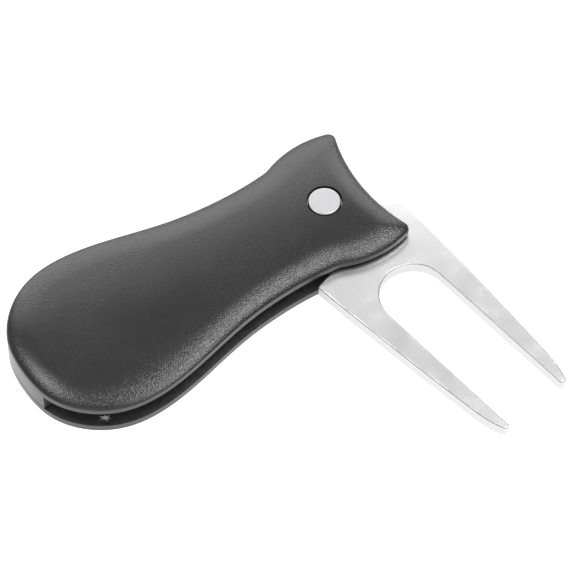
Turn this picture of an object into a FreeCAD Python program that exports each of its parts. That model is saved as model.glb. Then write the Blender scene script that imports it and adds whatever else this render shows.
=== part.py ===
import FreeCAD, Part
import math
import os

# Folding divot repair tool: a steel two-pronged fork that swings out of a slotted plastic
# handle, with a push button in the middle of the pivot that frees the fork.
# Frame, in millimetres: the origin is on the pivot axis, in the flat back face that the tool
# lies on. +X runs along the handle to its pivot end, and +Z comes out through the button.

# ---- handle outline, seen from above ----
TAIL_X = -62.1                 # end of the round bulb
SIDE_STATIONS = [              # distance along the handle, half width there
    (-61.0, 6.9),              # turn of the tail
    (-57.7, 11.75),
    (-51.5, 15.55),
    (-43.3, 16.3),             # widest part of the bulb
    (-34.0, 14.6),
    (-24.7, 12.4),
    (-16.5, 11.4),             # waist
    (-4.5, 11.7),              # where the waist turns out into the flare
]
CORNER_X = 10.25               # tip of each front corner
CORNER_Y = 12.15
FLARE_BULGE = 1.5              # how far the flare's side bows out
FRONT_X = 7.9                  # deepest point of the hollow front edge
CORNER_RADIUS = 1.3
FLARE_RADIUS = 7.0             # softens the turn from waist to flare

# ---- heights ----
BACK_THICK = 2.53              # back shell
SLOT_HEIGHT = 3.91             # space between the shells that the fork folds into
FRONT_THICK = 2.56             # front shell
BACK_SHOULDER = (2.4, 1.28)    # rounded edge: how far in, how high
FRONT_SHOULDER = (4.7, 1.63)
SLOT_Z = BACK_THICK
FRONT_Z = BACK_THICK + SLOT_HEIGHT
TOP_Z = FRONT_Z + FRONT_THICK

# ---- fork, in its own frame: along its axis from the pivot, across it to its left ----
FORK_THICK = 2.5
FORK_Z = SLOT_Z + 0.64
FORK_HEADING = -81.6           # degrees from +X: half open
HUB_RADIUS = 8.45
LEFT_SHOULDER = (7.55, 11.8)   # corner with a slanted back edge
LEFT_BACK_SLANT = 34.5         # degrees of that edge from square
LEFT_BACK_LENGTH = 9.0         # far enough to end inside the hub
LEFT_CORNER_RADIUS = 1.1
RIGHT_SHOULDER = (10.83, 11.6)  # corner with a nearly square back edge
RIGHT_NECK = (10.1, 7.4)       # where that edge meets the neck
NECK_START = 2.5               # the neck runs into the hub from here
RIGHT_CORNER_RADIUS = 0.5
PRONG_MIDDLE = (28.0, 10.5)    # the long outer edge bows out a little
PRONG_BEND = (47.2, 8.8)       # where it turns in to the tip
PRONG_MIDTIP = (50.8, 8.2)
PRONG_TIP = (53.3, 7.4)        # outer corner of the blunt end
PRONG_END = (53.6, 6.15)       # inner corner of the blunt end
TIP_RADII = (0.4, 0.55)        # rounding of those two corners
GAP_HALF = 6.08                # half the space between the prongs
GAP_CENTRE = 23.2              # centre of the round closed end of that space
TOE_START = 50.6               # the underside of the tips curves up from here
TOE_RADIUS = 5.3
FORK_EDGE = 0.3                # rounding of the stamped edges

# ---- spacer wall between the shells ----
SWEEP_RADIUS = 54.9            # the prong tips swing just inside this
WALL_RECESS = 3.0              # the wall stands back from the rim on the open side
STEP_Y = -5.5                  # where the wall comes out flush with the rim
WALL_START_X = -25.0           # the far wall begins behind the waist
CLOSED_GAP = 0.55              # between the closed fork and the far wall
STOP_GAP = 0.15                # between the fork's shoulders and the stop rib
STOP_INNER_RADIUS = HUB_RADIUS + 0.4
STOP_RECESS = 1.0              # the stop rib stands back from the rim
STOP_FLANK = 0.35              # between the rib and the side of the closed fork's neck
SEAM_HEIGHT = 0.12
SEAM_DEPTH = 0.3

# ---- pivot stack ----
BARREL_RADIUS = 4.0
BARREL_BORE = 2.95
BARREL_TOP = TOP_Z - 1.1
FLANGE_RADIUS = 5.4
FLANGE_THICK = 0.7
SPANNER_HOLE_RADIUS = 0.5      # two blind holes in the flange for a pin spanner
SPANNER_HOLE_DEPTH = 0.45
SPANNER_HOLE_Y = 3.9
INSERT_RADIUS = 5.2
INSERT_GROOVE = (0.25, 0.4)    # depth and width of the groove that keys it in the plastic
BUTTON_RADIUS = 2.9
BUTTON_WALL = 0.75
BUTTON_CAP = 1.1
BUTTON_BOTTOM = 1.45
BUTTON_HOLE_RADIUS = 3.15      # in the front shell
BUTTON_RIM = 0.3               # rounding of the button's top edge
KEY_REACH = 6.2
KEY_INNER = 2.25
KEY_HALF_WIDTH = 1.1
KEY_Z = (1.6, 3.05)
KEY_CHAMFER = 0.2
KEY_POCKET_FLOOR = 1.2
KEY_SIDE_GAP = 0.15            # beside the key in its pocket and in the fork's notches
KEY_END_GAP = 0.3
KEY_WINDOW_TOP = 4.3
RUNNING_GAP = 0.05
NOTCH_REACH = 6.45
SPRING_COIL_RADIUS = 1.72
SPRING_WIRE_RADIUS = 0.2
SPRING_TURNS = 7
SPRING_WIRE_SIDES = 10
WASHER_GAP = 0.08              # between each washer and the fork
NYLON_THICK = 0.25
WASHER_OUTER = 7.8
WASHER_BORE_GAP = 0.1
BACK_WASHER_INNER = 6.6
BACK_WASHER_OUTER = 8.2
WAVE_COUNT = 3
WAVE_HEIGHT = 0.08
WAVE_THICK = 0.2
WAVE_CLEAR = 0.02              # between the crests and the shell
WAVE_STEPS = 8                 # points that shape each wave

# ---- screws ----
SCREW_PLACES = [(-57.6, -3.2), (-56.3, 8.0), (-40.0, 12.9)]
SCREW_SHANK_RADIUS = 0.95
SCREW_HEAD_RADIUS = 1.9
SCREW_HEAD_THICK = 1.1
SCREW_SINK = 0.12              # the head lies this far below the back face
SCREW_HOLE_TOP = SLOT_Z + 3.9
SCREW_TIP_Z = SCREW_HOLE_TOP - 0.5
DRIVE_LENGTH = 2.0
DRIVE_WIDTH = 0.45
DRIVE_DEPTH = 0.6

OVERSHOOT = 6.0                # how far the stop rib's outline runs on past the shoulder
HUGE = 200.0                   # well past the object, for cutting shapes


def vec(x, y, z=0.0):
    return FreeCAD.Vector(x, y, z)


def disc(radius, z0, z1, x=0.0, y=0.0):
    """Upright cylinder between two heights."""
    return Part.makeCylinder(radius, z1 - z0, vec(x, y, z0))


def ring(outer, inner, z0, z1):
    """Upright tube between two heights, round the pivot axis."""
    return disc(outer, z0, z1).cut(disc(inner, z0 - 1, z1 + 1))


def slab(x0, x1, y0, y1, z0, z1):
    """Box between two corners."""
    return Part.makeBox(x1 - x0, y1 - y0, z1 - z0, vec(x0, y0, z0))


def prism(points, z0, z1):
    """Upright block on a straight-sided outline."""
    wire = Part.makePolygon([vec(x, y, z0) for x, y in points] + [vec(*points[0], z0)])
    return Part.Face(wire).extrude(vec(0, 0, z1 - z0))


def inset_point(point, normals, inset):
    """A point of the outline drawn in by a distance from the edges that meet there."""
    first, last = normals[0], normals[-1]
    return point - (first + last) * (inset / (1 + first.dot(last)))


def circle_centre(points):
    """Centre of the circle through three points."""
    return Part.Circle(*points).Center


def handle_face(inset=0.0):
    """Sharp-cornered outline of the handle as a flat face at height 0, drawn in by an inset."""
    left = [vec(x, w) for x, w in reversed(SIDE_STATIONS)]
    right = [vec(x, -w) for x, w in SIDE_STATIONS]
    rear_points = left + [vec(TAIL_X, 0)] + right
    rear = Part.BSplineCurve()
    rear.interpolate(rear_points)
    rear_normals = []
    for point in rear_points:
        along = rear.tangent(rear.parameter(point))[0]
        rear_normals.append(vec(-along.y, along.x) * -1)
    front_points = [vec(CORNER_X, CORNER_Y), vec(FRONT_X, 0), vec(CORNER_X, -CORNER_Y)]
    front_centre = circle_centre(front_points)
    front_normals = [(front_centre - point).normalize() for point in front_points]

    edges = []
    flare_ends = []
    for side, end, front_end in ((1, 0, 0), (-1, -1, -1)):
        start = rear_points[end]
        corner = front_points[front_end]
        middle = (start + corner) * 0.5 + vec(0, side * FLARE_BULGE)
        flare_centre = circle_centre([start, middle, corner])
        start_normal, middle_normal, corner_normal = [
            (point - flare_centre).normalize() for point in (start, middle, corner)
        ]
        start = inset_point(start, [rear_normals[end], start_normal], inset)
        middle = inset_point(middle, [middle_normal], inset)
        corner = inset_point(corner, [corner_normal, front_normals[front_end]], inset)
        edges.append(Part.Arc(start, middle, corner).toShape())
        flare_ends.append((start, corner))

    inner = [inset_point(p, [n], inset) for p, n in zip(rear_points, rear_normals)]
    inner[0] = flare_ends[0][0]
    inner[-1] = flare_ends[1][0]
    rear_inner = Part.BSplineCurve()
    rear_inner.interpolate(inner)
    edges.append(rear_inner.toShape())
    hollow = inset_point(front_points[1], [front_normals[1]], inset)
    edges.append(Part.Arc(flare_ends[0][1], hollow, flare_ends[1][1]).toShape())
    return Part.Face(Part.Wire(Part.__sortEdges__(edges)))


def upright_edges(solid, x, height):
    """The solid's vertical edges at one distance along the handle."""
    found = []
    for edge in solid.Edges:
        tall = edge.BoundBox.ZLength > 0.9 * height
        if tall and abs(edge.Vertexes[0].X - x) < 0.01:
            found.append(edge)
    return found


def rounded_prism(height):
    """The handle's outline raised to a height, with its front corners and flares rounded."""
    solid = handle_face().extrude(vec(0, 0, height)).Solids[0]
    solid = solid.makeFillet(CORNER_RADIUS, upright_edges(solid, CORNER_X, height))
    flare_x = SIDE_STATIONS[-1][0]
    return solid.makeFillet(FLARE_RADIUS, upright_edges(solid, flare_x, height))


def shouldered_plate(thickness, shoulder):
    """Plate of the handle's outline whose upper rim is rounded over as a flat ellipse.

    The round-over is cut as a true circle on a plate stretched upwards, then pressed flat.
    """
    inset, rise = shoulder
    stretch = inset / rise
    height = thickness * stretch
    solid = rounded_prism(height)
    rim = [edge for edge in solid.Edges if abs(edge.BoundBox.ZMin - height) < 1e-6]
    solid = solid.makeFillet(inset, rim)
    press = FreeCAD.Matrix()
    press.A33 = 1 / stretch
    return solid.transformGeometry(press).Solids[0]


def inset_prism(inset, z0, z1):
    """The handle's outline, drawn in by a distance, between two heights."""
    solid = handle_face(inset).extrude(vec(0, 0, z1 - z0)).Solids[0]
    solid.translate(vec(0, 0, z0))
    return solid


def prong_half_width(along):
    """Outer half width of the fork at a distance from the pivot, leaving out the edge's slight bow."""
    x0, y0 = LEFT_SHOULDER
    x1, y1 = PRONG_BEND
    return y0 + (y1 - y0) * (along - x0) / (x1 - x0)


def sweep_space(z0, z1):
    """Room that the fork needs between its closed and its open place."""
    far_x = -SWEEP_RADIUS - 5
    near_edge = prong_half_width(-WALL_START_X) + CLOSED_GAP
    far_edge = prong_half_width(-far_x) + CLOSED_GAP
    outline = [
        (far_x, -HUGE),
        (HUGE, -HUGE),
        (HUGE, HUGE),
        (WALL_START_X, HUGE),
        (WALL_START_X, near_edge),
        (far_x, far_edge),
    ]
    return disc(SWEEP_RADIUS, z0, z1).common(prism(outline, z0, z1))


def stop_rib(z0, z1):
    """Rib that the fork's shoulders come up against, wide open on one side and shut on the other."""
    neck_x, neck_y = RIGHT_NECK
    shoulder_x, shoulder_y = RIGHT_SHOULDER
    corner_x, corner_y = LEFT_SHOULDER
    slant = math.radians(LEFT_BACK_SLANT)
    run_x, run_y = math.sin(slant), math.cos(slant)
    lift_x, lift_y = -run_y * STOP_GAP, run_x * STOP_GAP
    outer_x = corner_x + lift_x + run_x * OVERSHOOT
    outer_y = corner_y + lift_y + run_y * OVERSHOOT
    inner_y = neck_y + STOP_FLANK
    inner_x = outer_x - (outer_y - inner_y) * run_x / run_y
    outline = [
        (STOP_GAP - neck_x, inner_y),
        (inner_x, inner_y),
        (outer_x, outer_y),
        (STOP_GAP - shoulder_x, outer_y),
        (STOP_GAP - shoulder_x, shoulder_y),
    ]
    rib = prism(outline, z0, z1).cut(disc(STOP_INNER_RADIUS, z0, z1))
    return rib.common(inset_prism(STOP_RECESS, z0, z1))


def spacer_wall():
    """Wall round the tail and the far side of the bulb that keeps the shells apart."""
    z0, z1 = SLOT_Z, FRONT_Z
    flush = inset_prism(0, z0, z1).common(slab(-HUGE, WALL_START_X, STEP_Y, HUGE, z0, z1))
    wall = flush.fuse(inset_prism(WALL_RECESS, z0, z1)).cut(sweep_space(z0 - 1, z1 + 1))
    groove = inset_prism(0, z0 - 1, z0 + SEAM_HEIGHT)
    groove = groove.cut(inset_prism(SEAM_DEPTH, z0 - 1, z0 + SEAM_HEIGHT))
    return wall.cut(groove)


def screw_holes():
    """Pilot holes for the shank of each screw."""
    holes = [disc(SCREW_SHANK_RADIUS, 0, SCREW_HOLE_TOP, x, y) for x, y in SCREW_PLACES]
    return holes[0].multiFuse(holes[1:])


def front_shell():
    """Upper half of the handle, with the spacer wall and the stop rib moulded on."""
    plate = shouldered_plate(FRONT_THICK, FRONT_SHOULDER)
    plate.translate(vec(0, 0, FRONT_Z))
    shell = plate.multiFuse([spacer_wall(), stop_rib(SLOT_Z, FRONT_Z)])
    shell = shell.cut(disc(BUTTON_HOLE_RADIUS, FRONT_Z - 1, TOP_Z + 1))
    shell = shell.cut(disc(INSERT_RADIUS, FRONT_Z - 1, BARREL_TOP))
    return shell.cut(screw_holes())


def back_shell():
    """Lower half of the handle, with seats for the barrel's flange, the key and the screws."""
    plate = shouldered_plate(BACK_THICK, BACK_SHOULDER)
    plate.rotate(vec(0, 0, 0), vec(1, 0, 0), 180)
    plate.translate(vec(0, 0, BACK_THICK))
    shell = plate.cut(disc(BARREL_RADIUS, -1, BACK_THICK + 1))
    shell = shell.cut(disc(FLANGE_RADIUS, -1, FLANGE_THICK))
    pocket_x = -KEY_REACH - KEY_END_GAP
    pocket_y = KEY_HALF_WIDTH + KEY_SIDE_GAP
    shell = shell.cut(slab(pocket_x, 0, -pocket_y, pocket_y, KEY_POCKET_FLOOR, BACK_THICK + 1))
    shell = shell.cut(screw_holes())
    for x, y in SCREW_PLACES:
        shell = shell.cut(screw_head(x, y))
        shell = shell.cut(disc(SCREW_HEAD_RADIUS, -1, SCREW_SINK, x, y))
    return shell


def screw_head(x, y):
    """Countersunk head, its flat side down."""
    taper = SCREW_HEAD_THICK
    return Part.makeCone(SCREW_HEAD_RADIUS, SCREW_SHANK_RADIUS, taper, vec(x, y, SCREW_SINK))


def shell_screw(x, y):
    """Self-tapping screw with a cross recess, driven up from the back."""
    screw = screw_head(x, y)
    screw = screw.fuse(disc(SCREW_SHANK_RADIUS, SCREW_SINK, SCREW_TIP_Z, x, y))
    drive = Part.makeBox(DRIVE_LENGTH, DRIVE_WIDTH, DRIVE_DEPTH)
    drive.translate(vec(-DRIVE_LENGTH / 2, -DRIVE_WIDTH / 2, SCREW_SINK))
    turned = drive.copy()
    turned.rotate(vec(0, 0, 0), vec(0, 0, 1), 90)
    cross = drive.fuse(turned)
    cross.translate(vec(x, y, 0))
    return screw.cut(cross).removeSplitter()


def shell_screws():
    return Part.makeCompound([shell_screw(x, y).Solids[0] for x, y in SCREW_PLACES])


def mirrored(point):
    """A point of the fork's outline carried over to its right side."""
    return vec(point[0], -point[1])


def prong_edges(side):
    """Outer edge, blunt tip and inner edge of one prong, from its bend to the gap."""
    bend = vec(PRONG_BEND[0], side * PRONG_BEND[1])
    middle = vec(PRONG_MIDTIP[0], side * PRONG_MIDTIP[1])
    tip = vec(PRONG_TIP[0], side * PRONG_TIP[1])
    end = vec(PRONG_END[0], side * PRONG_END[1])
    root = vec(GAP_CENTRE, side * GAP_HALF)
    return [
        Part.Arc(bend, middle, tip).toShape(),
        Part.makeLine(tip, end),
        Part.makeLine(end, root),
    ]


def fork_face():
    """Outline of the two prongs and the shoulders, without the round hub."""
    slant = math.radians(LEFT_BACK_SLANT)
    left = vec(*LEFT_SHOULDER)
    inside_hub = left - vec(math.sin(slant), math.cos(slant)) * LEFT_BACK_LENGTH
    right = mirrored(RIGHT_SHOULDER)
    neck = mirrored(RIGHT_NECK)
    neck_hub = vec(NECK_START, -RIGHT_NECK[1])
    gap_top = vec(GAP_CENTRE, GAP_HALF)
    gap_apex = vec(GAP_CENTRE - GAP_HALF, 0)
    gap_low = vec(GAP_CENTRE, -GAP_HALF)
    edges = [
        Part.makeLine(inside_hub, left),
        Part.Arc(left, vec(*PRONG_MIDDLE), vec(*PRONG_BEND)).toShape(),
        Part.Arc(gap_top, gap_apex, gap_low).toShape(),
        Part.Arc(mirrored(PRONG_BEND), mirrored(PRONG_MIDDLE), right).toShape(),
        Part.makeLine(right, neck),
        Part.makeLine(neck, neck_hub),
        Part.makeLine(neck_hub, inside_hub),
    ]
    edges += prong_edges(1) + prong_edges(-1)
    return Part.Face(Part.Wire(Part.__sortEdges__(edges)))


def corner_edge(solid, x, y):
    """The upright edge that stands on a point of the outline."""
    for edge in solid.Edges:
        if edge.BoundBox.ZLength < 0.9 * FORK_THICK:
            continue
        foot = edge.Vertexes[0].Point
        if abs(foot.x - x) + abs(foot.y - y) < 0.01:
            return edge
    raise ValueError("no upright edge there")


def toe_cutter():
    """What is ground off the underside of the tips, so that they curve up to a thin end."""
    block = slab(TOE_START, HUGE, -HUGE, HUGE, -1, TOE_RADIUS)
    round_under = Part.makeCylinder(TOE_RADIUS, 2 * HUGE, vec(TOE_START, -HUGE, TOE_RADIUS), vec(0, 1, 0))
    return block.cut(round_under)


def fork():
    """Stamped steel fork: hub, shoulders and two prongs, with the key's notches in its hole."""
    body = fork_face().extrude(vec(0, 0, FORK_THICK))
    body = body.fuse(disc(HUB_RADIUS, 0, FORK_THICK)).removeSplitter()
    body = body.makeFillet(LEFT_CORNER_RADIUS, [corner_edge(body, *LEFT_SHOULDER)])
    right_x, right_y = RIGHT_SHOULDER
    body = body.makeFillet(RIGHT_CORNER_RADIUS, [corner_edge(body, right_x, -right_y)])
    for (x, y), radius in zip((PRONG_TIP, PRONG_END), TIP_RADII):
        body = body.makeFillet(radius, [corner_edge(body, x, y), corner_edge(body, x, -y)])
    rims = [e for e in body.Edges if e.BoundBox.ZLength < 1e-6]
    body = body.makeFillet(FORK_EDGE, rims).cut(toe_cutter())
    body = body.cut(disc(BARREL_RADIUS + RUNNING_GAP, -1, FORK_THICK + 1))
    notch_y = KEY_HALF_WIDTH + KEY_SIDE_GAP
    notch = slab(-NOTCH_REACH, NOTCH_REACH, -notch_y, notch_y, -1, FORK_THICK + 1)
    body = body.cut(notch)
    body.rotate(vec(0, 0, 0), vec(0, 0, 1), FORK_HEADING)
    body.translate(vec(0, 0, FORK_Z))
    return body


def key_window(half_width, x0, x1, z0, z1):
    """Opening on the side where the lock key comes through."""
    return slab(x0, x1, -half_width, half_width, z0, z1)


def pivot_barrel():
    """Closed steel barrel that the fork turns on. It screws into the insert from the back."""
    barrel = ring(BARREL_RADIUS, BARREL_BORE, FLANGE_THICK, BARREL_TOP)
    barrel = barrel.fuse(disc(FLANGE_RADIUS, 0, FLANGE_THICK)).removeSplitter()
    half = KEY_HALF_WIDTH + RUNNING_GAP
    window = key_window(half, -BARREL_RADIUS - 1, 0, KEY_POCKET_FLOOR, KEY_WINDOW_TOP)
    barrel = barrel.cut(window)
    for side in (1, -1):
        barrel = barrel.cut(disc(SPANNER_HOLE_RADIUS, -1, SPANNER_HOLE_DEPTH, 0, side * SPANNER_HOLE_Y))
    return barrel


def pivot_insert():
    """Brass bush set in the front shell, with a groove round its outside."""
    bush = ring(INSERT_RADIUS, BARREL_RADIUS, FRONT_Z, BARREL_TOP)
    depth, width = INSERT_GROOVE
    low = (FRONT_Z + BARREL_TOP - width) / 2
    return bush.cut(ring(INSERT_RADIUS + 1, INSERT_RADIUS - depth, low, low + width))


def push_button():
    """Turned cap with a hollow skirt. The lock key sits in a window in the skirt."""
    button = disc(BUTTON_RADIUS, BUTTON_BOTTOM, TOP_Z)
    rim = [e for e in button.Edges if abs(e.BoundBox.ZMin - TOP_Z) < 1e-6]
    button = button.makeFillet(BUTTON_RIM, rim)
    button = button.cut(disc(BUTTON_RADIUS - BUTTON_WALL, BUTTON_BOTTOM - 1, TOP_Z - BUTTON_CAP))
    return button.cut(key_window(KEY_HALF_WIDTH, -BUTTON_RADIUS - 1, 0, *KEY_Z))


def lock_key():
    """Steel key that rises into a notch of the fork when the fork is fully in or fully out."""
    low, high = KEY_Z
    key = slab(-KEY_REACH, -KEY_INNER, -KEY_HALF_WIDTH, KEY_HALF_WIDTH, low, high)
    top = [e for e in key.Edges if abs(e.BoundBox.ZMin - high) < 1e-6 and e.BoundBox.YLength < 1e-6]
    return key.makeChamfer(KEY_CHAMFER, top)


def button_spring():
    """Compression spring between the barrel's floor and the button's cap.

    The wire's section is a regular polygon with many sides, square to the coil.
    """
    low = FLANGE_THICK + SPRING_WIRE_RADIUS
    high = TOP_Z - BUTTON_CAP - SPRING_WIRE_RADIUS
    pitch = (high - low) / SPRING_TURNS
    path = Part.makeHelix(pitch, high - low, SPRING_COIL_RADIUS)
    along = vec(0, 2 * math.pi * SPRING_COIL_RADIUS, pitch).normalize()
    outward = vec(1, 0, 0)
    upward = outward.cross(along)
    corners = []
    for side in range(SPRING_WIRE_SIDES + 1):
        turn = 2 * math.pi * side / SPRING_WIRE_SIDES
        reach = outward * math.cos(turn) + upward * math.sin(turn)
        corners.append(vec(SPRING_COIL_RADIUS, 0) + reach * SPRING_WIRE_RADIUS)
    spring = path.makePipeShell([Part.makePolygon(corners)], True, True)
    spring.translate(vec(0, 0, low))
    return spring


def wave_edge(radius, height):
    """Closed wavy curve round the pivot axis."""
    points = []
    steps = WAVE_COUNT * WAVE_STEPS
    for step in range(steps):
        turn = 2 * math.pi * step / steps
        lift = WAVE_HEIGHT * math.cos(WAVE_COUNT * turn)
        points.append(vec(radius * math.cos(turn), radius * math.sin(turn), height + lift))
    curve = Part.BSplineCurve()
    curve.interpolate(points, PeriodicFlag=True)
    return curve.toShape()


def wave_washer():
    """Thin spring-steel ring with three waves, which presses on the fork and gives it friction."""
    middle = FRONT_Z - WAVE_THICK / 2 - WAVE_HEIGHT - WAVE_CLEAR
    low = middle - WAVE_THICK / 2
    high = middle + WAVE_THICK / 2
    inner = BARREL_RADIUS + WASHER_BORE_GAP
    corners = [(inner, low), (WASHER_OUTER, low), (WASHER_OUTER, high), (inner, high)]
    rings = [wave_edge(*corner) for corner in corners]
    faces = [Part.makeRuledSurface(rings[i], rings[(i + 1) % 4]) for i in range(4)]
    shell = Part.makeShell(faces)
    shell.sewShape()
    solid = Part.Solid(shell)
    if solid.Volume < 0:
        solid.reverse()
    return solid


def front_washer():
    """Thin nylon ring between the fork and the wave washer."""
    low = FORK_Z + FORK_THICK + WASHER_GAP
    return ring(WASHER_OUTER, BARREL_RADIUS + WASHER_BORE_GAP, low, low + NYLON_THICK)


def back_washer():
    """Nylon ring that the fork turns on, lying in the slot's floor."""
    return ring(BACK_WASHER_OUTER, BACK_WASHER_INNER, SLOT_Z, FORK_Z - WASHER_GAP)


PARTS = {
    "front_shell": front_shell,
    "back_shell": back_shell,
    "shell_screws": shell_screws,
    "fork": fork,
    "pivot_barrel": pivot_barrel,
    "pivot_insert": pivot_insert,
    "wave_washer": wave_washer,
    "front_washer": front_washer,
    "back_washer": back_washer,
    "push_button": push_button,
    "lock_key": lock_key,
    "button_spring": button_spring,
}


def main():
    os.makedirs("parts", exist_ok=True)
    for name, make in PARTS.items():
        shape = make()
        if len(shape.Solids) == 1:
            shape = shape.Solids[0]
        shape.exportStep(f"parts/{name}.step")
        box = shape.BoundBox
        print(f"{name}: valid {shape.isValid()}, solids {len(shape.Solids)}, "
              f"volume {shape.Volume:.1f}, z {box.ZMin:.2f} to {box.ZMax:.2f}")


main()
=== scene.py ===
import math

import bmesh
import bpy
from mathutils import Matrix, Vector


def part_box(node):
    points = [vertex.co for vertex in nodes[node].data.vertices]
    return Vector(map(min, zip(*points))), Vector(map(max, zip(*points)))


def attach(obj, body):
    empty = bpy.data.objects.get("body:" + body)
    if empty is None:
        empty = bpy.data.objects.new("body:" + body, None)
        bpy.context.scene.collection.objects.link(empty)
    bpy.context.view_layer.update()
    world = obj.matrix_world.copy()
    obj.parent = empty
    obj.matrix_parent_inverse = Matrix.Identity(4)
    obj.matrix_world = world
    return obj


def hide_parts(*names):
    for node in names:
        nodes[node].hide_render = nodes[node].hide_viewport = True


MM = 0.001

# ---- camera: where it stands, seen from the pivot ----
CAMERA_AZIMUTH = -34.1          # degrees; 0 looks along +Y
CAMERA_ELEVATION = 57.1
CAMERA_ROLL = 0.4
CAMERA_DISTANCE = 632 * MM
CAMERA_RIGHT = -6.65 * MM       # the view's centre from the pivot, across the picture
CAMERA_UP = -11.5 * MM          # and up it
CAMERA_LENS = 224.4             # in mm, like the sensor's width
SENSOR_WIDTH = 36

# ---- handle ----
LIP_HEIGHT = 0.93 * MM          # smooth upright band beside the slot, on the front shell
LIP_SHEEN_REACH = 1.1                  # how far up its smooth band and its painted sheen go, as a share of that height
BACK_LIP_HEIGHT = 1.25 * MM     # the same band on the back shell
LIP_FADE = 0.16 * MM
SEAM_SHADE = 0.2 * MM                 # painted shade: a dark line where the shells meet
FLOOR_SHADOW_LINE = 0.04 * MM          # middle of the thin painted shadow line under the slot's floor
FLOOR_SHADOW_HALF = 0.03 * MM     # and half its width
GRAIN_SIZE = 0.22 * MM          # the moulded grain
GRAIN_DEPTH = 0.052 * MM
WORN_FROM = 0.7 * MM            # the grain wears off from this far under the top of the face
WORN_TO = 0.1 * MM              # to this far under it
TOP_WEAR = 0.25                 # how much of the grain is left there
HAIR = 0.005 * MM
CROWN_RADIUS = 150 * MM         # the front face is slightly round from side to side
CROWN_STEP = 0.5 * MM
WELD = 0.001 * MM
WALL_STEP_Y = -5.5 * MM         # where the closed wall of the tail ends and the slot begins
BUTTON_HOLE_SHADE = 3.2 * MM          # radius of the painted shade in the gap round the button

# ---- fork: where its zones begin and end, in depth under the nearer flat face ----
# the rim zone carries a painted darker reflection and is a little rougher
RIM_REFLECTION_FROM = (0.003 * MM, 0.01 * MM)
RIM_REFLECTION_TO = (0.07 * MM, 0.1 * MM)
WALL_FROM = (0.24 * MM, 0.32 * MM)
SCRATCH_DEPTH = 0.0002 * MM

# ---- turned metal ----
RING_PITCH = 0.16 * MM
RING_DEPTH = 0.0008 * MM

# ---- mark left by the moulding gate, on the slot's floor ----
GATE_FROM_TAIL = 8.4 * MM
GATE_FROM_SIDE = 3.8 * MM
GATE_RADIUS = 0.32 * MM
GATE_HEIGHT = 0.14 * MM
GATE_SIDES = 18
GATE_RINGS = 4
GATE_LOBES = 3
GATE_LOBE = 0.12                # how far the lobes stand out, as a share of the radius
RAYS = 9
RAY_FIRST = -19.1               # direction of the first ray, in degrees from +X
RAY_STEP = 25                   # degrees from ray to ray
RAY_SWAY = 7                    # and how much that varies
RAY_LENGTH = 1.0 * MM           # mean, from the mark's middle
RAY_VARY = 0.25 * MM
RAY_HALF_WIDTH = 0.13 * MM
RAY_HEIGHT = 0.08 * MM

# ---- studio ----
FLOOR_GLOW = 1.1
FLOOR_HALF = 3.0
FLOOR_DROP = 0.02 * MM
WORLD_GLOW = 0.5

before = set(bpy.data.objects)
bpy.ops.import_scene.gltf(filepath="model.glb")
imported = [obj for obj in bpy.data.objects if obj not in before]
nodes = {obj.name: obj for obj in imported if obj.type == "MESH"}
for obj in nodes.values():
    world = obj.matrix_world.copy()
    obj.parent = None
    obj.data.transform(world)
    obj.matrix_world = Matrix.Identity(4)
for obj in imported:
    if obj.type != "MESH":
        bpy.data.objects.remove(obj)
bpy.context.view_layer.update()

SLOT_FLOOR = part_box("back_washer")[0].z
SLOT_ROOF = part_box("pivot_insert")[0].z
HANDLE_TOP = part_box("front_shell")[1].z
HANDLE_MIDDLE = (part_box("front_shell")[0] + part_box("front_shell")[1]) / 2


# ---------------------------------------------------------------- shader helpers

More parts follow.
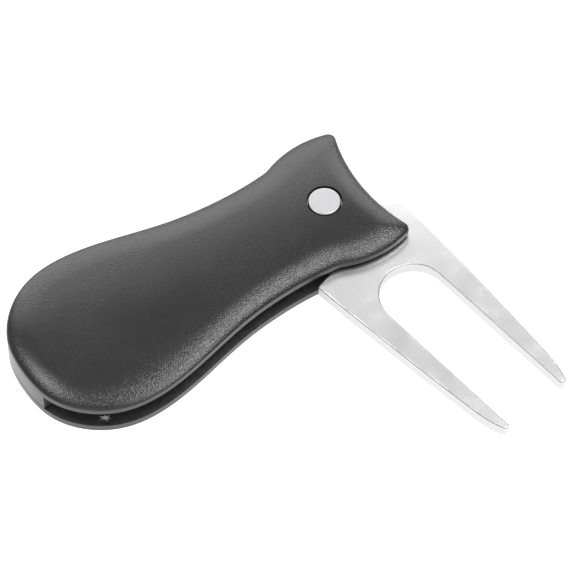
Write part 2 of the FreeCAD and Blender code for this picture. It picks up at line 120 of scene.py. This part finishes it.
class Shader:
    """A new material with its Principled shader, and short calls that add nodes to it."""

    def __init__(self, name):
        self.material = bpy.data.materials.new(name)
        self.material.use_nodes = True
        self.tree = self.material.node_tree
        self.main = self.tree.nodes["Principled BSDF"]
        self.place = self.tree.nodes.new("ShaderNodeTexCoord").outputs["Object"]

    def set(self, **values):
        for name, value in values.items():
            self.main.inputs[name.replace("_", " ")].default_value = value

    def link(self, source, name):
        """Feeds one of the Principled shader's inputs."""
        self.tree.links.new(source, self.main.inputs[name])

    def fill(self, socket, value):
        if isinstance(value, bpy.types.NodeSocket):
            self.tree.links.new(value, socket)
        else:
            socket.default_value = value

    def math(self, operation, *values):
        node = self.tree.nodes.new("ShaderNodeMath")
        node.operation = operation
        for socket, value in zip(node.inputs, values):
            self.fill(socket, value)
        return node.outputs[0]

    def stretch(self, scale, turn=0.0):
        """Object coordinates, turned about Z by some degrees, then scaled on each axis."""
        node = self.tree.nodes.new("ShaderNodeMapping")
        node.inputs["Scale"].default_value = scale
        node.inputs["Rotation"].default_value = (0, 0, math.radians(turn))
        self.tree.links.new(self.place, node.inputs["Vector"])
        return node.outputs["Vector"]

    def noise(self, size, detail=2.0, rough=0.5, where=None):
        """Cloudy noise from 0 to 1 whose blotches are about the given size in metres."""
        node = self.tree.nodes.new("ShaderNodeTexNoise")
        node.inputs["Scale"].default_value = 1 / size
        node.inputs["Detail"].default_value = detail
        node.inputs["Roughness"].default_value = rough
        self.tree.links.new(where or self.place, node.inputs["Vector"])
        return node.outputs["Fac"]

    def remap(self, value, low, high, to_low, to_high, smooth=False):
        node = self.tree.nodes.new("ShaderNodeMapRange")
        if smooth:
            node.interpolation_type = "SMOOTHSTEP"
        for socket, number in zip(node.inputs[:5], (value, low, high, to_low, to_high)):
            self.fill(socket, number)
        return node.outputs["Result"]

    def mix(self, amount, first, second):
        """Blend of two colours. Inputs 6 and 7 and output 2 are the node's colour sockets."""
        node = self.tree.nodes.new("ShaderNodeMix")
        node.data_type = "RGBA"
        self.fill(node.inputs[0], amount)
        self.fill(node.inputs[6], first)
        self.fill(node.inputs[7], second)
        return node.outputs[2]

    def axis(self, name):
        node = self.tree.nodes.new("ShaderNodeSeparateXYZ")
        self.tree.links.new(self.place, node.inputs[0])
        return node.outputs[name]

    def radius(self):
        """Distance from the pivot axis."""
        x, y = self.axis("X"), self.axis("Y")
        square = self.math("ADD", self.math("MULTIPLY", x, x), self.math("MULTIPLY", y, y))
        return self.math("SQRT", square)

    def bump(self, height, depth):
        """Feeds the shader's normal with a bump of the given depth in metres."""
        node = self.tree.nodes.new("ShaderNodeBump")
        node.inputs["Distance"].default_value = depth
        self.tree.links.new(height, node.inputs["Height"])
        self.link(node.outputs["Normal"], "Normal")


def grey(value):
    return (value, value, value, 1)


def darker(tone, share):
    return tuple(channel * share for channel in tone[:3]) + (1,)


def paint(node_name, material):
    """Gives a CAD node one material in all its slots."""
    thing = nodes[node_name]
    if not thing.material_slots:
        thing.data.materials.append(material)
    for slot in thing.material_slots:
        slot.link = "OBJECT"
        slot.material = material


# ---------------------------------------------------------------- materials

def shell_plastic(name, lip_low, lip_high, front):
    """Satin black plastic with a fine moulded grain, worn smoother on top of the front face.

    Heights and places pick out the smooth band beside the slot, whose paler base colour is a
    painted sheen;
    the painted shade of the seam and of the button's hole; and the dull, dusty inside of the slot.
    """
    shader = Shader(name)
    height, side = shader.axis("Z"), shader.axis("Y")
    # the lip band: smooth and ungrained, and it also carries a painted sheen in its base colour
    above = shader.remap(height, lip_low - LIP_FADE, lip_low + LIP_FADE, 0.0, 1.0, smooth=True)
    below = shader.remap(height, lip_high - LIP_FADE, lip_high + LIP_FADE, 1.0, 0.0, smooth=True)
    lip = shader.math("MULTIPLY", above, below)
    if front:
        inside = shader.math("MULTIPLY", shader.math("LESS_THAN", height, SLOT_ROOF + HAIR),
                             shader.math("LESS_THAN", side, WALL_STEP_Y + HAIR))
        inside = shader.math("MAXIMUM", inside, shader.math("COMPARE", height, SLOT_ROOF, HAIR))
        # painted shade at the foot of the front shell, where it meets the back shell
        painted_shade = shader.math("LESS_THAN", height, SLOT_FLOOR + SEAM_SHADE)
        # painted shade in the gap round the button: the shell is made black and dull within this
        # radius
        painted_shade = shader.math("MAXIMUM", painted_shade, shader.math("LESS_THAN", shader.radius(), BUTTON_HOLE_SHADE))
    else:
        inside = shader.math("GREATER_THAN", height, SLOT_FLOOR - HAIR)
        # painted shadow: a thin line under the slot's floor, where the shells meet
        painted_shade = shader.math("COMPARE", height, SLOT_FLOOR - FLOOR_SHADOW_LINE, FLOOR_SHADOW_HALF)
    worn = shader.remap(height, HANDLE_TOP - WORN_FROM, HANDLE_TOP - WORN_TO, 1.0, TOP_WEAR,
                        smooth=True)
    grained = shader.math("MULTIPLY", shader.math("SUBTRACT", 1.0, lip), worn)

    grain = shader.noise(GRAIN_SIZE, detail=0.0)
    cloud = shader.noise(9 * MM, detail=3.0)
    dust = shader.noise(1.3 * MM, detail=4.0, rough=0.65)
    black = shader.mix(cloud, grey(0.007), grey(0.009))
    # painted sheen: the lip band's base colour is made paler, standing in for the bright floor it
    # reflects
    black = shader.mix(lip, black, shader.mix(cloud, grey(0.035), grey(0.05)))
    dusty = shader.mix(shader.remap(dust, 0.35, 0.7, 0.0, 1.0), grey(0.02), grey(0.045))
    black = shader.mix(inside, black, dusty)
    # painted shade: near-black base colour on the seam, the floor line and the button's hole
    shader.link(shader.mix(painted_shade, black, grey(0.002)), "Base Color")
    rough = shader.remap(grain, 0.3, 0.7, 0.22, 0.28)
    rough = shader.math("ADD", rough, shader.remap(cloud, 0.3, 0.7, -0.02, 0.02))
    rough = shader.math("ADD", rough, shader.math("MULTIPLY", lip, 0.05))
    rough = shader.math("ADD", rough, shader.math("MULTIPLY", inside, 0.25))
    shader.link(rough, "Roughness")
    # the painted shade also reflects little
    shader.link(shader.remap(painted_shade, 0.0, 1.0, 0.5, 0.05), "Specular IOR Level")
    shader.bump(shader.math("MULTIPLY", grain, grained), GRAIN_DEPTH)
    return shader.material


def fork_steel():
    """Satin stainless steel: faint clouds, fine scratches both ways, a painted darker reflection
    along the rims, rougher walls.
    """
    shader = Shader("fork_steel")
    along = frame_heading("fork")
    lengthways = shader.stretch((1, 12, 1), turn=-along)
    crossways = shader.stretch((10, 1, 1), turn=-along - 24)
    long_lines = shader.noise(2.0 * MM, detail=3.0, rough=0.7, where=lengthways)
    cross_lines = shader.noise(1.6 * MM, detail=3.0, rough=0.7, where=crossways)
    cloud = shader.noise(4.5 * MM, detail=3.0)
    speck = shader.noise(0.3 * MM, detail=1.0)
    low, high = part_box("fork")
    middle, half = (low.z + high.z) / 2, (high.z - low.z) / 2
    from_middle = shader.math("ABSOLUTE", shader.math("SUBTRACT", shader.axis("Z"), middle))
    depth = shader.math("SUBTRACT", half, from_middle)
    rim_and_reflection = shader.math("MULTIPLY", shader.remap(depth, *RIM_REFLECTION_FROM, 0.0, 1.0, smooth=True),
                      shader.remap(depth, *RIM_REFLECTION_TO, 1.0, 0.0, smooth=True))
    wall = shader.remap(depth, *WALL_FROM, 0.0, 1.0, smooth=True)

    tone = shader.mix(cloud, grey(0.675), grey(0.7))
    tone = shader.mix(shader.remap(speck, 0.3, 0.7, 0.0, 0.5), tone, grey(0.62))
    # painted reflection: the rims get a darker base colour, standing in for the dim room they
    # mirror
    tone = shader.mix(rim_and_reflection, tone, shader.mix(cloud, grey(0.22), grey(0.28)))
    tone = shader.mix(wall, tone, shader.mix(speck, grey(0.5), grey(0.58)))
    shader.set(Metallic=1.0)
    shader.link(tone, "Base Color")
    rough = shader.remap(cloud, 0.3, 0.7, 0.25, 0.28)
    rough = shader.math("ADD", rough, shader.remap(long_lines, 0.35, 0.65, -0.004, 0.004))
    edges = shader.math("MAXIMUM", rim_and_reflection, wall)
    shader.link(shader.math("ADD", rough, shader.math("MULTIPLY", edges, 0.08)), "Roughness")
    lines = shader.math("ADD", shader.math("MULTIPLY", long_lines, 0.15),
                        shader.math("MULTIPLY", cross_lines, 0.03))
    lines = shader.math("ADD", lines, shader.math("MULTIPLY", speck, 0.25))
    shader.bump(lines, SCRATCH_DEPTH)
    return shader.material


def frame_heading(node_name):
    """Direction in degrees from +X, out from the pivot along a node, worked out from its box."""
    low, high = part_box(node_name)
    return math.degrees(math.atan2(low.y, (low.x + high.x) / 2))


def turned_metal(name, tone, rough):
    """Turned metal: fine rings round the pivot axis."""
    shader = Shader(name)
    rings = shader.math("SINE", shader.math("MULTIPLY", shader.radius(), 2 * math.pi / RING_PITCH))
    speck = shader.noise(0.25 * MM, detail=3.0)
    cloud = shader.noise(2.5 * MM, detail=2.0)
    shader.set(Metallic=1.0)
    shader.link(shader.mix(cloud, darker(tone, 0.95), tone), "Base Color")
    shader.link(shader.remap(speck, 0.3, 0.7, rough - 0.05, rough + 0.05), "Roughness")
    shader.bump(shader.math("ADD", rings, speck), RING_DEPTH)
    return shader.material


def plain_metal(name, tone, rough):
    """Drawn or stamped metal with fine marks."""
    shader = Shader(name)
    marks = shader.noise(0.4 * MM, detail=4.0, rough=0.7)
    cloud = shader.noise(1.5 * MM, detail=2.0)
    shader.set(Metallic=1.0)
    shader.link(shader.mix(cloud, darker(tone, 0.85), tone), "Base Color")
    shader.link(shader.remap(marks, 0.3, 0.7, rough - 0.06, rough + 0.08), "Roughness")
    shader.bump(marks, 0.004 * MM)
    return shader.material


def nylon():
    """Natural nylon: milky and slightly see-through."""
    shader = Shader("nylon")
    cloud = shader.noise(1.2 * MM, detail=3.0)
    shader.set(Subsurface_Weight=0.2, Subsurface_Scale=0.4 * MM)
    shader.link(shader.mix(cloud, (0.74, 0.71, 0.63, 1), (0.84, 0.82, 0.76, 1)), "Base Color")
    shader.link(shader.remap(cloud, 0.3, 0.7, 0.38, 0.5), "Roughness")
    shader.bump(shader.noise(0.2 * MM), 0.004 * MM)
    return shader.material


def paint_all():
    front_black = shell_plastic("front_shell_black", lip_low=SLOT_FLOOR - 2 * LIP_FADE,
                                lip_high=SLOT_ROOF + LIP_SHEEN_REACH * LIP_HEIGHT, front=True)
    paint("front_shell", front_black)
    add_crowned_shell(front_black)
    paint("back_shell", shell_plastic("back_shell_black", lip_low=SLOT_FLOOR - BACK_LIP_HEIGHT,
                                      lip_high=SLOT_FLOOR + 2 * LIP_FADE, front=False))
    paint("fork", fork_steel())
    paint("push_button", turned_metal("button_metal", tone=(0.36, 0.36, 0.365, 1), rough=0.42))
    paint("pivot_barrel", turned_metal("barrel_steel", tone=(0.56, 0.56, 0.57, 1), rough=0.3))
    paint("pivot_insert", turned_metal("insert_brass", tone=(0.72, 0.53, 0.22, 1), rough=0.3))
    paint("lock_key", plain_metal("key_steel", tone=(0.5, 0.5, 0.51, 1), rough=0.35))
    paint("shell_screws", plain_metal("screw_steel", tone=(0.42, 0.42, 0.44, 1), rough=0.3))
    spring_steel = plain_metal("spring_steel", tone=(0.5, 0.5, 0.52, 1), rough=0.28)
    paint("button_spring", spring_steel)
    paint("wave_washer", spring_steel)
    white_nylon = nylon()
    paint("front_washer", white_nylon)
    paint("back_washer", white_nylon)


# ---------------------------------------------------------------- crowned front shell

def add_crowned_shell(material):
    """The front shell with its face made slightly round from side to side, down to the lip."""
    source = nodes["front_shell"]
    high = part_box("front_shell")[1]
    lip_top = SLOT_ROOF + LIP_HEIGHT
    shape = bmesh.new()
    shape.from_mesh(source.data)
    bmesh.ops.remove_doubles(shape, verts=shape.verts, dist=WELD)
    lines = int(high.y / CROWN_STEP)
    for line in range(-lines, lines + 1):
        flat = [face for face in shape.faces
                if all(vert.co.z > high.z - HAIR for vert in face.verts)]
        around = {edge for face in flat for edge in face.edges}
        corners = {vert for face in flat for vert in face.verts}
        bmesh.ops.bisect_plane(shape, geom=flat + list(around) + list(corners), dist=WELD,
                               plane_co=(0, line * CROWN_STEP, 0), plane_no=(0, 1, 0))
    for vert in shape.verts:
        if vert.co.z > lip_top:
            share = (vert.co.z - lip_top) / (high.z - lip_top)
            vert.co.z -= share * vert.co.y ** 2 / (2 * CROWN_RADIUS)
    mesh = bpy.data.meshes.new("front_shell_crowned")
    shape.to_mesh(mesh)
    shape.free()
    for name in ("custom_normal", "sharp_edge", "sharp_face"):
        if name in mesh.attributes:
            mesh.attributes.remove(mesh.attributes[name])
    mesh.shade_smooth()
    mesh.set_sharp_from_angle(angle=math.radians(30))
    mesh.materials.clear()
    mesh.materials.append(material)
    shell = bpy.data.objects.new("front_shell_crowned", mesh)
    bpy.context.scene.collection.objects.link(shell)
    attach(shell, "handle")
    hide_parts("front_shell")


# ---------------------------------------------------------------- gate mark

def marked_plastic():
    """Black plastic that went pale where the gate was torn off."""
    shader = Shader("gate_pale")
    patch = shader.noise(0.15 * MM, detail=3.0)
    pale = shader.mix(shader.remap(patch, 0.35, 0.65, 0.0, 1.0), grey(0.6), grey(0.9))
    shader.link(pale, "Base Color")
    shader.link(shader.remap(patch, 0.3, 0.7, 0.45, 0.65), "Roughness")
    shader.bump(patch, 0.02 * MM)
    return shader.material


def gate_nub(middle):
    """Points and faces of a low dome with a lobed outline. The first point is its top."""
    points, faces = [middle + Vector((0, 0, GATE_HEIGHT))], []
    for ring in range(1, GATE_RINGS + 1):
        lean = math.pi / 2 * ring / GATE_RINGS
        for side in range(GATE_SIDES):
            turn = 2 * math.pi * side / GATE_SIDES
            reach = GATE_RADIUS * math.sin(lean) * (1 + GATE_LOBE * math.sin(GATE_LOBES * turn))
            points.append(middle + Vector((reach * math.cos(turn), reach * math.sin(turn),
                                           GATE_HEIGHT * math.cos(lean))))
    for side in range(GATE_SIDES):
        after = (side + 1) % GATE_SIDES
        faces.append((0, 1 + side, 1 + after))
        for ring in range(GATE_RINGS - 1):
            here, there = 1 + ring * GATE_SIDES, 1 + (ring + 1) * GATE_SIDES
            faces.append((here + side, there + side, there + after, here + after))
    return points, faces


def add_gate_mark():
    """A low nub on the slot's floor, with thin ridges that run out from it."""
    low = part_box("back_shell")[0]
    middle = Vector((low.x + GATE_FROM_TAIL, low.y + GATE_FROM_SIDE, SLOT_FLOOR))
    points, faces = gate_nub(middle)
    for ray in range(RAYS):
        turn = math.radians(RAY_FIRST - RAY_STEP * ray + RAY_SWAY * math.sin(5.0 * ray))
        length = RAY_LENGTH + RAY_VARY * math.sin(2.4 * ray)
        along = Vector((math.cos(turn), math.sin(turn), 0))
        across = Vector((-along.y, along.x, 0)) * RAY_HALF_WIDTH
        root = middle + along * GATE_RADIUS * 0.7
        first = len(points)
        points += [root + across, root - across, root + Vector((0, 0, RAY_HEIGHT)),
                   middle + along * length]
        faces += [(first, first + 3, first + 2), (first + 2, first + 3, first + 1),
                  (first, first + 2, first + 1)]
    mesh = bpy.data.meshes.new("gate_mark")
    mesh.from_pydata([tuple(point) for point in points], [], faces)
    mesh.shade_smooth()
    mesh.materials.append(marked_plastic())
    mark = bpy.data.objects.new("gate_mark", mesh)
    bpy.context.scene.collection.objects.link(mark)
    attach(mark, "handle")


# ---------------------------------------------------------------- studio

def camera_axes():
    """Unit vectors to the camera's right, up the picture, and back from the object."""
    azimuth, elevation = math.radians(CAMERA_AZIMUTH), math.radians(CAMERA_ELEVATION)
    back = Vector((math.sin(azimuth) * math.cos(elevation),
                   -math.cos(azimuth) * math.cos(elevation),
                   math.sin(elevation)))
    right = Vector((math.cos(azimuth), math.sin(azimuth), 0))
    up = back.cross(right)
    roll = math.radians(CAMERA_ROLL)
    return (math.cos(roll) * right + math.sin(roll) * up,
            -math.sin(roll) * right + math.cos(roll) * up,
            back)


def add_camera():
    right, up, back = camera_axes()
    aim = Vector((0, 0, SLOT_FLOOR)) + right * CAMERA_RIGHT + up * CAMERA_UP
    place = aim + back * CAMERA_DISTANCE
    data = bpy.data.cameras.new("camera")
    data.sensor_width = SENSOR_WIDTH
    data.lens = CAMERA_LENS
    data.clip_start = 0.05
    data.clip_end = 10
    camera = bpy.data.objects.new("camera", data)
    camera.matrix_world = Matrix((
        (right.x, up.x, back.x, place.x),
        (right.y, up.y, back.y, place.y),
        (right.z, up.z, back.z, place.z),
        (0, 0, 0, 1)))
    bpy.context.scene.collection.objects.link(camera)
    bpy.context.scene.camera = camera


def add_floor():
    """A wide white floor that glows, just under the tool."""
    half = FLOOR_HALF
    mesh = bpy.data.meshes.new("floor")
    mesh.from_pydata([(-half, -half, 0), (half, -half, 0), (half, half, 0), (-half, half, 0)],
                     [], [(0, 1, 2, 3)])
    floor = bpy.data.objects.new("floor", mesh)
    bpy.context.scene.collection.objects.link(floor)
    floor.location.z = -FLOOR_DROP
    material = bpy.data.materials.new("floor_white")
    material.use_nodes = True
    shader = material.node_tree.nodes["Principled BSDF"]
    shader.inputs["Base Color"].default_value = grey(0.3)
    shader.inputs["Roughness"].default_value = 0.9
    shader.inputs["Emission Color"].default_value = grey(1)
    shader.inputs["Emission Strength"].default_value = FLOOR_GLOW
    mesh.materials.append(material)


def add_softbox(name, place, size, radiance, facing):
    """Softbox. Its place is from the handle's middle: to the camera's right, away from it, up."""
    turn = math.radians(CAMERA_AZIMUTH)
    rightward = Vector((math.cos(turn), math.sin(turn), 0))
    onward = Vector((-math.sin(turn), math.cos(turn), 0))
    data = bpy.data.lights.new(name, "AREA")
    data.shape = "RECTANGLE"
    data.size, data.size_y = size
    data.energy = radiance * math.pi * size[0] * size[1]
    light = bpy.data.objects.new(name, data)
    right, away, up = place
    light.location = HANDLE_MIDDLE + rightward * right + onward * away + Vector((0, 0, up))
    light.rotation_mode = "QUATERNION"
    aim = {"down": Vector((0, 0, -1)), "back": -onward, "onward": onward}[facing]
    axes = Matrix((rightward, rightward.cross(aim), -aim)).transposed()
    light.rotation_quaternion = axes.to_quaternion()
    light.visible_camera = False
    bpy.context.scene.collection.objects.link(light)


def add_world():
    world = bpy.data.worlds.new("studio")
    world.use_nodes = True
    world.node_tree.nodes["Background"].inputs["Color"].default_value = grey(1)
    world.node_tree.nodes["Background"].inputs["Strength"].default_value = WORLD_GLOW
    bpy.context.scene.world = world


bpy.context.scene.view_settings.view_transform = "Standard"
paint_all()
add_gate_mark()
add_camera()
add_floor()
add_world()
add_softbox("far_panel", (-0.02, 0.15, 0.1), (0.27, 0.13), 3.2, "back")
add_softbox("near_fill", (0.0, -0.4, 0.25), (0.7, 0.4), 0.9, "onward")
add_softbox("far_panel_top", (-0.045, 0.15, 0.172), (0.12, 0.055), 2.5, "back")
add_softbox("left_box", (-0.18, 0.012, 0.35), (0.17, 0.15), 7.6, "down")
add_softbox("left_fill", (-0.22, -0.06, 0.35), (0.25, 0.25), 1.0, "down")
add_softbox("right_box", (0.16, 0.04, 0.35), (0.17, 0.13), 10.5, "down")
add_softbox("right_fill", (0.2, -0.06, 0.35), (0.25, 0.25), 2.0, "down")
